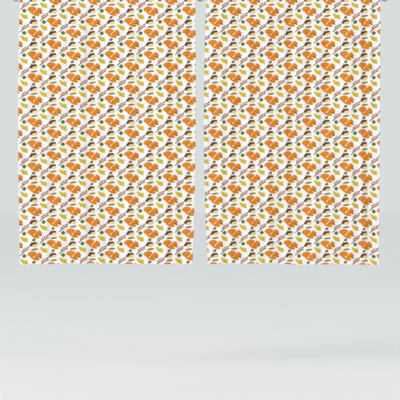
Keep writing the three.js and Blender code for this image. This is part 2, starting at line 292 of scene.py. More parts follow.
def drawPrint(paint, uv, start):
    # the printed colour at each place, start being the first animal's middle in millimetres
    place = paint.scaled(uv, 1000, 1000)
    rough = Flow(paint, paint.noise(place, 0.55, 2.0).socket.node.outputs["Color"])
    shake = paint.vector("MULTIPLY", paint.vector("SUBTRACT", rough, (0.5, 0.5, 0.5)), printed["waver"])
    place = paint.vector("ADD", place, shake)
    x, y, _ = paint.split(place)
    cloudy = paint.noise(place, 0.12, 3.0)
    colour = paint.mix(inks["ground"], inks["groundCool"], inside(cloudy - 0.55, 0.3))

    def motif(right, up):
        return Motif(paint, x, y, start[0] + right, start[1] + up)

    def both(tone, other, mask):
        # an ink that turns into another one where the mask is 1
        return paint.mix(inks.get(tone, tone), inks[other], mask)

    def lay(tone, shape):
        # prints an ink inside a shape, over what is there
        nonlocal colour
        colour = paint.mix(colour, inks.get(tone, tone), inside(shape))

    # acorn
    nut = motif(-4.4, 39.23)
    cap = nut.oval(-1.4, 1.2, 14.0, 6.5, 17).calc("MINIMUM", -nut.oval(4.4, -4.2, 13.4, 6.6, 16))
    ribs = (nut.x * 1.5 + nut.y * 0.5).calc("SINE")
    hatch = (nut.x * 1.9 + nut.y * 1.4).calc("SINE") * (nut.x * 1.1 - nut.y * 2.1).calc("SINE")
    lay(both("cream", "creamRib", inside(ribs, 2.4)), nut.oval(4.4, -2.6, 11.4, 5.5, 11))
    lay(both("brown", "brownHatch", inside(hatch, 1.6)),
        cap.calc("MAXIMUM", nut.oval(-7.6, 7.6, 1.6, 2.3, 30)))
    # slim leaf, with its rib
    slim = motif(-77.0, -17.0)
    lay(both("olive", "oliveRib", inside(slim.oval(0, 0, 10.0, 0.35, 7))), slim.oval(0, 0, 11.9, 3.0, 7))
    # lobed leaf
    lobed = motif(-41.2, -18.7)
    blade = lobed.union((0, 0.2, 15.8, 5.0, -34), (8.2, 0.6, 5.8, 4.6, -20), (-8.2, 3.8, 5.8, 4.0, -30),
                        (4.6, -5.6, 6.8, 3.4, -25), (-3.5, -2.6, 5.6, 3.2, -40))
    scallop = (lobed.x * 1.35 + lobed.y * 0.7).calc("SINE") * 0.5
    vein = lobed.union((0, 0, 14.0, 0.4, -34), (4.5, -0.8, 5.0, 0.3, 20), (-3.5, 2.2, 4.5, 0.3, 15))
    leaf = both("yellow", "yellowPale", inside(lobed.y - 1.0, 8.0))
    lay(both(leaf, "yellowVein", inside(vein)), blade + scallop)
    # diamond leaf and rounded seed
    diamond = motif(-40.4, 0.9)
    away = paint.vector("DOT_PRODUCT", paint.vector("ABSOLUTE", diamond.place), (1 / 8.8, 1 / 7.6, 0), out=1)
    lay(both("green", "greenRib", inside(diamond.oval(0.4, 0, 0.4, 5.0, 12))),
        diamond.oval(0, 0, 7.3, 6.4).calc("MINIMUM", (1.0 - away) * 6.0 + 0.2))
    seed = motif(-4.1, -22.5)
    lay(both("oliveDark", "olivePale", inside(seed.oval(-1.2, 1.2, 3.0, 1.8, 20), 2.0)),
        seed.oval(0, 0, 6.2, 4.5, 20))
    # berry sprig
    sprig = motif(-40.1, 18.4)
    berries = ((-3.6, 0.6, 3.7, 2.6, 45), (1.0, 5.4, 4.0, 2.5, 40),
               (2.6, 0.6, 3.9, 2.5, 40), (7.4, 5.0, 3.4, 2.2, 30))
    hearts = [(right, up, across - 1.6, tall - 1.35, degrees) for right, up, across, tall, degrees in berries]
    lay("stem", sprig.oval(-9.9, -9.8, 6.9, 1.2, 38))
    lay("oliveDark", sprig.union((3.0, 3.0, 12.0, 0.7, 40), (14.4, 12.0, 4.6, 1.9, 25),
                                 (14.2, 5.2, 3.8, 1.5, 14), (-4.4, -4.0, 2.6, 1.2, 50)))
    lay("yellow", sprig.oval(-8.6, -0.6, 1.9, 2.8, 20))
    lay("berry", sprig.union(*berries))
    lay("berryPale", sprig.union(*hearts))
    lay("berry", sprig.union((-2.0, 6.2, 6.6, 0.8, 38), (3.5, -1.4, 7.6, 0.8, 30)))
    # animal with a curled tail
    animal = motif(0, 0)
    tail = animal.union((-10.4, 6.1, 16.2, 9.3, 2), (-19.8, 6.2, 8.4, 4.8, 10))
    torso = animal.union((0.2, -4.9, 19.6, 9.9, -23), (8.6, -10.4, 9.4, 5.6, -14), (7.5, 0.5, 12.0, 6.5, 32))
    head = animal.union((18.8, 2.8, 7.9, 7.2, 15), (24.6, 0.2, 5.0, 4.6, -20), (15.2, 9.4, 2.0, 2.8, 12),
                        (21.6, 8.2, 1.5, 2.3, -8), (14.0, -9.5, 4.4, 6.4, -10))
    gap = animal.union((3.2, 2.4, 8.2, 1.4, 40), (-3.2, -3.8, 4.8, 2.3, 55), (9.6, 9.0, 2.6, 4.4, -10))
    fur = paint.noise(paint.scaled(animal.place, 1.0, 2.4), 0.5)
    coat = both("orange", "orangeDeep", inside(fur - 0.55, 0.3) * 0.5)
    coat = both(coat, "orangePale", inside(animal.oval(-10.0, 9.0, 11.0, 3.6, 4), 5.0) * 0.5)
    lay(coat, tail.calc("MAXIMUM", torso).calc("MAXIMUM", head).calc("MINIMUM", -gap))
    lay("seed", animal.union((22.6, -6.4, 6.0, 1.8, -20), (22.0, 3.6, 0.8, 0.8)))
    lay("gold", animal.oval(17.8, -9.0, 2.6, 2.4, 20))
    return colour


weave = {
    "thread": 0.42 * mm,
    "depth": 0.04 * mm,
    "strength": 0.18,
    "slubs": ((700, 45), (45, 700)),  # along and across
    "creases": (28, 16),
    "creaseDepth": 1.6 * mm,
    "creaseStrength": 0.35,
}


def clothSurface(paint, uv):
    # Threads over and under: the two thread directions take turns at being on top. Broad soft
    # creases from handling lie under them.
    place = paint.scaled(uv, 1 / weave["thread"], 1 / weave["thread"])
    x, y, _ = paint.split(place)
    over = (x * math.pi).calc("SINE") * (y * math.pi).calc("SINE")
    slubs, crossed = (paint.noise(paint.scaled(uv, *scale), 1.0) for scale in weave["slubs"])
    threads = paint.bump(over + slubs * 0.5 + crossed * 0.5, weave["depth"], weave["strength"])
    handled = paint.noise(paint.scaled(uv, *weave["creases"]), 1.0, 3.0, 0.45)
    return paint.bump(handled, weave["creaseDepth"], weave["creaseStrength"], threads)


def printedFace(name, start):
    paint = Paint(name, Sheen_Weight=0.1, Sheen_Roughness=0.45, Specular_IOR_Level=0.15)
    uv = paint.node("ShaderNodeUVMap", {"uv_map": "clothLength"})
    colour = drawPrint(paint, uv, start)
    fibre = paint.noise(paint.scaled(uv, 900, 900), 1.0)
    colour = paint.mix(colour, rgb(190, 190, 200), inside(fibre - 0.62, 0.2) * 0.10)
    return paint.finish(Base_Color=colour, Roughness=fibre * 0.12 + 0.78,
                        Normal=clothSurface(paint, uv))


def clothBack(name, start):
    # the wrong side, where the print shows through faintly
    paint = Paint(name, Sheen_Weight=0.2, Sheen_Roughness=0.5, Specular_IOR_Level=0.2)
    uv = paint.node("ShaderNodeUVMap", {"uv_map": "clothLength"})
    ghost = paint.mix(drawPrint(paint, uv, start), rgb(247, 246, 246), 0.74)
    fibre = paint.noise(paint.scaled(uv, 800, 800), 1.0)
    return paint.finish(Base_Color=ghost, Roughness=fibre * 0.1 + 0.82,
                        Normal=clothSurface(paint, uv))


def threadFinish():
    paint = Paint("sewing_thread", Sheen_Weight=0.3, Specular_IOR_Level=0.4)
    place = paint.objectPlace()
    x, y, z = paint.split(place)
    twist = ((x + y + z) * 9000.0).calc("SINE")
    tone = paint.noise(place, 400.0)
    return paint.finish(
        Base_Color=paint.mix(rgb(246, 245, 243), rgb(222, 220, 218), tone),
        Roughness=tone * 0.15 + 0.5, Normal=paint.bump(twist, 0.05 * mm, 0.5))


def brushedMetal(name, light, dark, along, shine):
    # fine scratches run across the "along" axis' stretch, with broad cloudy polish marks
    paint = Paint(name, Metallic=1.0)
    place = paint.objectPlace()
    scale = [60.0 if axis == along else 2600.0 for axis in "xyz"]
    lines = paint.noise(paint.scaled(place, *scale), 1.0, 2.0)
    clouds = paint.noise(place, 38.0, 3.0)
    return paint.finish(
        Base_Color=paint.mix(light, dark, lines * 0.5 + clouds * 0.4),
        Roughness=lines * 0.14 + clouds * 0.10 + shine,
        Normal=paint.bump(lines, 0.03 * mm, 0.35))


def zincSteel():
    # plated crystals of slightly different brightness
    paint = Paint("zinc_steel", Metallic=1.0)
    place = paint.objectPlace()
    flakes = paint.node("ShaderNodeTexVoronoi", {}, {"Vector": place, "Scale": 900.0}, 1)
    fine = paint.noise(place, 1500.0)
    return paint.finish(
        Base_Color=paint.mix(paint.mix(rgb(205, 206, 206), rgb(176, 180, 184), fine), flakes, 0.06),
        Roughness=fine * 0.18 + 0.26, Normal=paint.bump(fine, 0.03 * mm, 0.3))


def mouldedNylon(name, light, dark):
    paint = Paint(name, Specular_IOR_Level=0.45)
    place = paint.objectPlace()
    grain = paint.noise(place, 1800.0, 2.0)
    flow = paint.noise(place, 60.0, 2.0)
    return paint.finish(
        Base_Color=paint.mix(light, dark, flow), Roughness=grain * 0.2 + 0.42,
        Normal=paint.bump(grain, 0.05 * mm, 0.4))


nickelBar = brushedMetal("satin_nickel_bar", rgb(214, 209, 201), rgb(176, 171, 163), "x", 0.2)
nickelTurned = brushedMetal("satin_nickel_turned", rgb(212, 207, 199), rgb(178, 173, 165), "y", 0.17)
nickelPlate = brushedMetal("satin_nickel_plate", rgb(210, 206, 199), rgb(174, 170, 162), "z", 0.24)
zinc = zincSteel()
greyNylon = mouldedNylon("grey_nylon", rgb(156, 158, 161), rgb(142, 144, 148))
whiteNylon = mouldedNylon("white_nylon", rgb(236, 234, 227), rgb(224, 222, 214))
sewingThread = threadFinish()
print("finishes made")


def attach(piece, body, nodes, slot, *materials):
    # the piece rides on a body and stands for the nodes named
    for material in materials:
        piece.data.materials.append(material)
    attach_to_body(piece, body)
    if nodes:
        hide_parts(*nodes)


curtain = {
    "ripple": 16 * mm,  # one gather on the rod
    "slack": 0.5 * mm,  # between the lining of the pocket and the rod
    "pocketRoom": 4.2 * mm,  # how far the gathers stand off the rod
    "pocketWrap": 140 * mm,  # cloth round the rod, which the side turnings leave out
    "fineShare": 0.13,  # share of the skirt at the top that has closely spaced rows
    "gatherFade": 150 * mm,  # below the seam, where the gathers have gone
    "foldGrow": 130 * mm,  # below the seam, where the folds are whole
    "evenPrint": 0.85,
    "billow": 0.18,  # share of the depth that lies in broad waves
    "columns": 240,
    "sideHem": 16 * mm,
    "turnedIn": 12.8 * mm,  # width of each of a side hem's two turns
    "bottomHem": 30 * mm,
    "thickness": 0.34 * mm,
    "layer": 0.5 * mm,  # between the layers of a hem
    "keep": 0.3421,  # width left of a panel that is drawn right back
    "border": 5,  # columns across a side hem
    "flatEdge": (3 * mm, 22 * mm),  # in from each side edge, where the gathers begin
    "plainEdge": 0.25,  # share of the gathers' depth that is left at the edge
    "gatherFrom": 10 * mm,  # below the seam, where the gathers begin to fade
    "deepestGather": 60 * mm,
    "foldDepth": 3.6,  # against the gathers' depth
    "edgeFolds": 0.6,  # share of the folds' depth that is left at the edge
    "seamGap": 0.75 * mm,  # between the pocket's two sides where they are sewn
    "cornerFrom": 24 * mm,  # in from each side edge, where a corner's extra layers begin
    "cornerRoom": 2.4,  # extra layers at a corner
    # Each fold: place at the top and at the bottom as a share of the width from the viewer's
    # left, width in millimetres, depth, and where down the panel it starts and ends.
    "folds": (
        (0.115, -0.01, 11, 0.75, -0.2, 0.85), (0.145, 0.095, 9, 0.8, -0.2, 1.2),
        (0.200, 0.168, 10, 0.9, -0.2, 1.2), (0.280, 0.280, 11, 0.9, -0.2, 1.2),
        (0.330, 0.332, 7, 0.45, 0.1, 1.2), (0.392, 0.405, 15, 1.25, -0.2, 1.2),
        (0.468, 0.498, 10, 0.85, -0.2, 1.2), (0.530, 0.550, 7, 0.55, 0.25, 1.2),
        (0.590, 0.600, 10, 0.8, -0.2, 0.65), (0.690, 0.650, 11, 0.95, -0.2, 1.2),
        (0.765, 0.767, 15, 1.0, 0.30, 1.3), (0.850, 0.872, 9, 0.85, -0.2, 1.2),
        (0.905, 0.925, 9, 1.0, -0.2, 1.2), (0.960, 0.985, 7, 0.6, -0.2, 0.6),
    ),
}

# Each panel's outline, in millimetres out from the frame's own edges at the top, middle and
# bottom, the hem's rise across the panel, and where the print starts.
panels = {
    "left": {"side": -1, "viewerLeft": (0.0, -5.1, 1.5), "viewerRight": (1.5, 3.2, -7.3),
             "hemRise": ((0.0, -3.2), (0.06, -0.5), (0.40, 3.6), (0.7, 0.6), (1.0, 0.3)),
             "cloth": 690 * mm, "print": 680 * mm, "start": (133.1, -9.2), "seed": 0.0},
    "right": {"side": 1, "viewerLeft": (2.0, -6.8, 7.3), "viewerRight": (-1.9, -3.6, -7.2),
              "hemRise": ((0.0, 1.2), (0.42, 3.4), (0.52, -2.0), (0.75, 0.4), (0.95, -1.5), (1.0, -6.5)),
              "cloth": 706 * mm, "print": 704 * mm, "start": (38.5, -9.2), "seed": 2.1},
}


def ease(value, low, high):
    # rises smoothly from 0 at low to 1 at high
    t = np.clip((value - low) / (high - low), 0, 1)
    return t * t * (3 - 2 * t)


def parabola(share, ends):
    # a smooth line through a top, a middle and a bottom value
    top, middle, bottom = ends
    return (top * (1 - share) * (1 - 2 * share) + 4 * middle * share * (1 - share)
            + bottom * share * (2 * share - 1)) * mm


pocketBack, overRod, pocketFront, skirt, turnedUp = range(5)


def panelRows(seam, hem):
    # One record for each row of the cloth, from the seam's back up over the rod, down the
    # front, and round the turned-up hem: the row's kind, height, layer behind the front, length
    # of cloth from the bottom edge, and how far the row is along its own stretch.
    radius = rod["radius"] + curtain["slack"] + curtain["pocketRoom"]
    reach = rod["z"] - seam
    touch = math.acos(radius / reach)
    straight = math.sqrt(reach ** 2 - radius ** 2)
    over = radius * (turn - 2 * touch)
    side = rod["z"] - radius * math.cos(touch)
    drop = seam - hem
    rows = []

    def add(kind, height, layer, length, share, angle=0.0):
        rows.append((kind, height, layer, length, share, angle))

    for t in np.linspace(0, 1, 10)[:-1]:
        add(pocketBack, seam + t * (side - seam), 0, drop + 2 * straight + over - t * straight, t)
    for t in np.linspace(0, 1, 18):
        angle = touch + t * (turn - 2 * touch)  # from straight down, round by the wall side
        add(overRod, rod["z"] - radius * math.cos(angle), 0, drop + straight + over * (1 - t), t, angle)
    for t in np.linspace(0, 1, 10)[1:]:
        add(pocketFront, side + t * (seam - side), 0, drop + straight * (1 - t), t)
    fine = curtain["fineShare"]
    for t in np.concatenate([np.linspace(0, fine, 26)[1:], np.linspace(fine, 1, 104)[1:]]):
        add(skirt, seam - t * drop, 0, drop * (1 - t), t)
    layer, up = curtain["layer"], curtain["bottomHem"]
    for t in np.linspace(0, 1, 6)[1:-1]:
        half = t * math.pi
        add(turnedUp, hem - layer * math.sin(half), layer * (1 - math.cos(half)), -t * 2 * layer, 1)
    for t in np.linspace(0, 1, 7):
        add(turnedUp, hem + t * up, 2 * layer, -2 * layer - t * up, 1)
    for t in np.linspace(0, 1, 5)[1:-1]:
        half = t * math.pi
        add(turnedUp, hem + up + layer / 2 * math.sin(half), 1.5 * layer + layer / 2 * math.cos(half),
            -2 * layer - up - t * layer, 1)
    for t in np.linspace(0, 1, 6):
        add(turnedUp, hem + up - t * (up - 2 * mm), layer, -3 * layer - up - t * up, 1)
    kind, height, behind, length, share, angle = (np.array(c)[:, None] for c in zip(*rows))
    return {"kind": kind, "height": height, "layer": behind, "length": length, "share": share,
            "angle": angle, "radius": radius, "touch": touch, "hem": hem}


def gather(across, seed, shift=0.0):
    # fine gathers on the rod, 0 at the front and 1 at the back, of slightly uneven width
    wave = across / curtain["ripple"]
    uneven = (0.32 * np.sin(across * 37 + seed) + 0.22 * np.sin(across * 83 + 1.3 + 2 * seed)
              + 0.10 * np.sin(across * 171 + 0.4))
    return 0.5 - 0.5 * np.cos(turn * (wave + uneven + shift))


def unevenDepth(across, seed):
    return 0.82 + 0.13 * np.sin(across * 61 + 0.7 + seed) + 0.05 * np.sin(across * 149 + seed)


def folds(share, down, width, seed):
    # Each fold is a rounded crease whose middle goes from its top place to its bottom place,
    # with one flank steeper than the other. Broad waves lie between the creases.
    depth = np.zeros(np.broadcast(share, down).shape)
    for number, (top, bottom, wide, deep, starts, ends) in enumerate(curtain["folds"]):
        middle = top + (bottom - top) * np.clip(down, 0, 1) ** 1.1
        middle = middle + 0.004 * np.sin(down * 5.0 + number * 1.7 + seed)
        away = (share - middle) * width / (wide * mm)
        skew = 0.25 * math.sin(number * 2.3 + seed)
        away = away * (1 + skew * np.tanh(away))
        window = ease(down, starts, starts + 0.2) * (1 - ease(down, ends - 0.25, ends))
        swell = 0.82 + 0.3 * ease(down, 0.1, 1.0) + 0.08 * np.sin(down * 9 + number + seed)
        depth = depth + deep * window * swell * np.exp(-away ** 2)
    broad = (0.5 + 0.5 * np.sin(share * 17.0 + 0.8 * down + seed + 0.6)) * 0.6
    broad = broad + (0.5 + 0.5 * np.sin(share * 39.0 - 1.1 * down + seed)) * 0.4
    return depth + curtain["billow"] * broad


def takeUp(shape, stepX, clothWidth):
    # the depth of each row whose line is as long as the cloth is wide, found by halving
    stepShape = np.diff(shape, axis=1)
    low, high = np.zeros(len(shape)), np.full(len(shape), curtain["deepestGather"])
    for _ in range(40):
        size = (low + high) / 2
        taken = np.sqrt(stepX ** 2 + (size[:, None] * stepShape) ** 2).sum(1)
        low = np.where(taken < clothWidth, size, low)
        high = np.where(taken < clothWidth, high, size)
    return ((low + high) / 2)[:, None]


def hangPanel(name):
    # the whole cloth of one panel as points (rows, columns, 3) and uv (rows, columns, 2)
    settings = panels[name]
    side, seed = settings["side"], settings["seed"]
    leadLow, leadHigh, _ = box(name + "_leading_hem")
    outLow, outHigh, _ = box(name + "_outer_hem")
    left, right = min(leadLow[0], outLow[0]), max(leadHigh[0], outHigh[0])
    seam = box(name + "_rod_pocket")[0][2]
    rows = panelRows(seam, leadLow[2])
    width = right - left
    hemShare = curtain["sideHem"] / width
    hemColumns = np.linspace(0, hemShare, curtain["border"] + 1)
    middle = np.linspace(hemShare, 1 - hemShare, curtain["columns"] - 2 * curtain["border"])
    share = np.concatenate([hemColumns[:-1], middle, 1 - hemColumns[::-1][1:]])[None, :]
    kind = rows["kind"]
    down = np.clip((seam - rows["height"]) / (seam - rows["hem"]), 0, 1)
    down = np.where(kind < skirt, 0, down)
    below = down * (seam - rows["hem"])
    x = left + share * width + (1 - share) * parabola(down, settings["viewerLeft"]) \
        + share * parabola(down, settings["viewerRight"])
    across = x - left
    # the back of the pocket's gathers slide over by half a gather, so that the seam closes
    shift = np.where(kind == pocketBack, side * 0.5 * (1 - ease(rows["share"], 0, 1)), 0)
    fromEdge = np.minimum(share, 1 - share) * width
    plain, edgeFolds = curtain["plainEdge"], curtain["edgeFolds"]
    flat = plain + (1 - plain) * ease(fromEdge, *curtain["flatEdge"])
    uneven = unevenDepth(across, seed) * flat
    fineShare = (1 - ease(below, curtain["gatherFrom"], curtain["gatherFade"])) \
        * (0.86 + 0.14 * (kind < skirt))
    coarseShare = ease(below, -curtain["gatherFrom"], curtain["foldGrow"]) \
        * curtain["foldDepth"] * (kind >= skirt)
    shape = fineShare * uneven * gather(across, seed, shift) \
        + coarseShare * folds(share, down, width, seed) * (edgeFolds + (1 - edgeFolds) * flat)
    stepX = np.diff(x, axis=1)
    size = takeUp(shape, stepX, settings["cloth"])
    depth = size * shape
    length = np.sqrt(stepX ** 2 + np.diff(depth, axis=1) ** 2).cumsum(1)
    length = np.concatenate([np.zeros((len(x), 1)), length], 1)
    seamRow = np.flatnonzero(kind[:, 0] == pocketFront)[-1]
    frontBase = rod["y"] - depth.mean(1, keepdims=True)
    # pocket: a circle round the rod and two straight sides that meet at the seam
    radius, touch = rows["radius"], rows["touch"]
    half = (uneven - uneven.mean()) * size[seamRow]
    seamFront = frontBase[seamRow]
    seamBack = seamFront + uneven.mean() * size[seamRow] + curtain["seamGap"]
    sideY = radius * math.sin(touch)
    reachBack = ease(rows["share"], 0, 1)
    backY = seamBack + rows["share"] * (rod["y"] + sideY - seamBack) - depth + (1 - reachBack) * half
    overY = rod["y"] + (radius - depth) * np.sin(rows["angle"])
    overZ = rod["z"] - (radius - depth) * np.cos(rows["angle"])
    frontY = rod["y"] - sideY + rows["share"] * (seamFront - rod["y"] + sideY) + depth
    y = np.select([kind == pocketBack, kind == overRod, kind == pocketFront],
                  [backY, overY, frontY], frontBase + depth)
    z = np.where(kind == overRod, overZ, rows["height"] + 0 * depth)
    rise = np.interp(share[0], *zip(*settings["hemRise"]))[None, :] * mm
    z = z + rise * ease(down, 0.55, 1.0)
    # the hem's layers lie behind the front, further at the corners, where the side hems are
    corner = 1 - ease(fromEdge, curtain["sideHem"], curtain["cornerFrom"])
    layered = ease(rows["layer"], 0, 2 * curtain["layer"]) ** 0.5
    extra = np.where(rows["layer"] > 0, curtain["cornerRoom"] * curtain["layer"] * corner, 0)
    behind = rows["layer"] * (1 + 0 * share) + extra * layered
    slope = np.gradient(y, axis=1) / np.gradient(x, axis=1)
    out = np.stack([slope, -np.ones_like(slope), 0 * slope], -1) / np.hypot(1, slope)[..., None]
    points = np.stack([x, y, z], -1) - behind[..., None] * out
    # the print keeps nearly even spacing across the panel, as the cloth's slack is taken up evenly
    even = curtain["evenPrint"]
    length = even * across / width * settings["print"] + (1 - even) * length
    uv = np.stack([length, rows["length"] + 0 * length], -1)
    return {"points": points, "uv": uv, "rows": rows, "seamRow": seamRow, "side": side, "out": out}


def clothPiece(name, points, uv, materials):
    rows, columns = points.shape[:2]
    piece = makePiece(name, points.reshape(-1, 3), gridFaces(rows, columns), uv.reshape(-1, 2))
    solid = piece.modifiers.new("thickness", "SOLIDIFY")
    solid.thickness = curtain["thickness"]
    solid.offset = -1
    solid.material_offset = 1
    for material in materials:
        piece.data.materials.append(material)
    return piece


def foldedEdge(hung, edge):
    # A side hem: from the cloth's edge column it turns back behind the front by a half round,
    # goes along behind it for the hem's width, and turns in between for almost as far.
    rows = np.flatnonzero(hung["rows"]["kind"][:, 0] == skirt)
    front, out, length = (hung[key][rows] for key in ("points", "out", "uv"))
    inward = 1 if edge == 0 else -1
    order = edge + inward * np.arange(curtain["border"])
    layer = curtain["layer"]
    edgeLength = length[:, edge, 0]
    strips, along = [], []

    def add(column, behind, beyond, gone):
        spot = front[:, column] - behind * out[:, column]
        spot[:, 0] -= inward * beyond
        strips.append(spot)
        along.append(edgeLength - inward * gone)

    for t in np.linspace(0, 1, 5):
        half = t * math.pi
        add(edge, layer * (1 - math.cos(half)), layer * math.sin(half), half * layer)
    gone = math.pi * layer
    for column in order[1:]:
        add(column, 2 * layer, 0.0, gone + np.abs(length[:, column, 0] - edgeLength))
    last = order[-1]
    gone += np.abs(length[:, last, 0] - edgeLength)
    for t in (0.33, 0.67):
        half = t * math.pi
        add(last, 1.5 * layer + layer / 2 * math.cos(half), -layer * math.sin(half), gone + t * layer)
    for column in order[:0:-1]:
        add(column, layer, 0.0, gone + layer + np.abs(length[:, column, 0] - length[:, last, 0]))
    points, across = np.stack(strips, 1), np.stack(along, 1)
    uv = np.stack([across, np.repeat(length[:, edge, 1:], len(strips), 1)], -1)
    if inward > 0:
        return points[:, ::-1], uv[:, ::-1]
    return points, uv


stitch = {
    "pitch": 3.2 * mm,
    "long": 2.5 * mm,
    "thick": 0.42 * mm,
    "proud": 0.12 * mm,  # of a stitch's middle above the cloth
    "fromFold": 3 * mm,  # down from the bottom hem's upper fold
    "column": 3,  # in from a side edge
}


def stitchShape():
    # a rice-grain: rings round the X axis, thickest in the middle, closed by a point at each end
    along = np.array([-1, -0.72, 0, 0.72, 1])
    around = np.arange(6) * turn / 6
    radius = np.array([0.0, 0.75, 1.0, 0.75, 0.0])
    points = np.stack([np.repeat(along[:, None], 6, 1) * stitch["long"] / 2,
                       radius[:, None] * np.cos(around) * stitch["thick"] / 2,
                       radius[:, None] * np.sin(around) * stitch["thick"] / 2], -1)
    return points.reshape(-1, 3), gridFaces(5, 6, False, True)


def sewLine(line, normals):
    # stitches evenly spaced along a line of points, each lying along it
    length = np.concatenate([[0], np.linalg.norm(np.diff(line, axis=0), axis=1).cumsum()])
    at = np.arange(stitch["pitch"] / 2, length[-1], stitch["pitch"])

    def sample(values, where):
        return np.stack([np.interp(where, length, values[:, k]) for k in range(3)], -1)

    middle = sample(line, at)
    along = sample(line, at + stitch["long"] / 2) - sample(line, at - stitch["long"] / 2)
    along /= np.linalg.norm(along, axis=1, keepdims=True)
    out = sample(normals, at)
    out -= (out * along).sum(1, keepdims=True) * along
    out /= np.linalg.norm(out, axis=1, keepdims=True)
    other = np.cross(along, out)
    shape, faces = stitchShape()
    points = (middle[:, None] + shape[None, :, :1] * along[:, None] + shape[None, :, 1:2] * out[:, None]
              + shape[None, :, 2:] * other[:, None])
    faces = faces[None] + (np.arange(len(at)) * len(shape))[:, None, None]
    return points.reshape(-1, 3), faces.reshape(-1, 4)


def sewn(name, lines):
    points, faces, count = [], [], 0
    for line, normals in lines:
        some, quads = sewLine(line, normals)
        points.append(some)
        faces.append(quads + count)
        count += len(some)
    return weld(makePiece(name, np.concatenate(points), np.concatenate(faces)), 60)


def frontAndBack(points, out):
    # a stitch line through all the layers of a hem, as it shows on both sides
    depth = 2 * curtain["layer"] + stitch["proud"]
    return [(points + stitch["proud"] * out, out), (points - depth * out, -out)]


def seamLines(hung, columns):
    # the header's seam and the bottom hem's stitch line, front and back
    rows, points, out = hung["rows"], hung["points"], hung["out"]
    front = np.flatnonzero(rows["kind"][:, 0] == skirt)
    over = rows["height"][front, 0] - rows["hem"] - curtain["bottomHem"] + stitch["fromFold"]
    hemRow = front[np.abs(over).argmin()]
    seamRow = hung["seamRow"]
    above = (points[seamRow, columns] + stitch["proud"] * out[seamRow, columns], out[seamRow, columns])
    back = points[0, columns] - stitch["proud"] * out[0, columns] + np.array([0, 0, 1 * mm])
    hemFront, hemBack = frontAndBack(points[hemRow, columns], out[hemRow, columns])
    return [above, hemFront, (back, -out[0, columns]), hemBack]


def sideLine(hung, edge):
    # the stitch line down a side hem
    rows = np.flatnonzero(hung["rows"]["kind"][:, 0] == skirt)
    column = edge + stitch["column"] * (1 if edge == 0 else -1)
    return frontAndBack(hung["points"][rows, column], hung["out"][rows, column])


def addPanel(name):
    hung = hangPanel(name)
    points, uv = hung["points"], hung["uv"]
    count, border = points.shape[1], curtain["border"]
    start = panels[name]["start"]
    finishes = (printedFace(name + "_print", start), clothBack(name + "_print_back", start))
    if hung["side"] < 0:
        outer, leading = 0, count - 1
        main, lead = slice(0, count - border), slice(count - border - 1, count)
    else:
        outer, leading = count - 1, 0
        main, lead = slice(border, count), slice(0, border + 1)
    cloth = clothPiece(name + "_curtain", points[:, main], uv[:, main], finishes)
    edge = clothPiece(name + "_leading_cloth", points[:, lead], uv[:, lead], finishes)
    outerHem = clothPiece(name + "_outer_turning", *foldedEdge(hung, outer), finishes)
    leadHem = clothPiece(name + "_leading_turning", *foldedEdge(hung, leading), finishes)
    columns = np.arange(count)
    stitches = sewn(name + "_stitching", seamLines(hung, columns[main]) + sideLine(hung, outer))
    leadStitches = sewn(name + "_leading_stitching", seamLines(hung, columns[lead]) + sideLine(hung, leading))
    outerX = box(name + "_outer_hem")[0 if hung["side"] < 0 else 1][0]
    leadMiddle = box(name + "_leading_hem")[2][0]
    for piece, body, anchor, nodes in (
            (cloth, "_panel", outerX, ("rod_pocket", "skirt", "bottom_hem")),
            (outerHem, "_panel", outerX, ("outer_hem",)),
            (stitches, "_panel", outerX, ()),
            (edge, "_leading_edge", leadMiddle, ("leading_hem",)),
            (leadHem, "_leading_edge", leadMiddle, ()),
            (leadStitches, "_leading_edge", leadMiddle, ())):
        attach(piece, name + body, [name + "_" + node for node in nodes], "printed_cloth")
        name + "_panel_draw"
        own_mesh(piece)
    for piece in (stitches, leadStitches):
        piece.data.materials.append(sewingThread)
    pocketLow, pocketHigh, _ = box(name + "_rod_pocket")
    print(name, "panel hung,", points.shape, "depth", round(float(np.ptp(points[40:, :, 1])) * 1000, 1), "mm")


def addTurned(name, node, body, profile, middle, along, looks, steps=56, shape=None, closed=True, sharp=35):
    # a lathe piece in place of a node; looks holds a slot name, which nothing uses, and its material
    attach(lathe(name, profile, middle, along, steps, shape, closed, sharp), body, [node], *looks)


nickelLooks = ("rod_metal", nickelTurned)
zincLooks = ("bright_steel", zinc)
greyLooks = ("grey_nylon", greyNylon)
rodMiddle = (0, rod["y"], rod["z"])
tube = {
    "wall": 0.8 * mm,
    "easedEnd": 0.25 * mm,
    "seamDepth": 0.12 * mm,
    "seamAngle": 1.9 * math.pi,
    "seamWidth": 0.05,  # in radians
}


def addTube(name, node, body, steps):
    # a drawn tube with eased ends and the faint groove of its lengthwise seam
    low, high, _ = box(node)
    radius = (high[2] - low[2]) / 2
    bore = radius - tube["wall"]
    ends = [(bore, low[0]), (radius, low[0]), (radius, high[0]), (bore, high[0])]

    def seamed(r, h, angle):
        groove = tube["seamDepth"] * np.exp(-((angle - tube["seamAngle"]) / tube["seamWidth"]) ** 2)
        return r - np.where(r > bore + 0.3 * mm, groove, 0)

    addTurned(name, node, body, rounded(ends, tube["easedEnd"], True), rodMiddle, "+x",
              ("rod_metal", nickelBar), steps, seamed)


bush = {"flange": 2.5 * mm, "inTube": 0.95 * mm, "slack": 0.15 * mm, "easedEdge": 0.4 * mm}


def addBush(outer, inner):
    # a sleeve in the outer tube's mouth, with a flange as wide as that tube
    low, high, _ = box("telescope_bush")
    flange = high[0] - bush["flange"]
    hole, sleeve = inner + bush["slack"], outer - bush["inTube"]
    profile = [(hole, low[0]), (sleeve, low[0]), (sleeve, flange), (outer, flange), (outer, high[0]),
               (hole, high[0])]
    addTurned("bush", "telescope_bush", "rod", rounded(profile, bush["easedEdge"], True), rodMiddle, "+x",
              greyLooks)


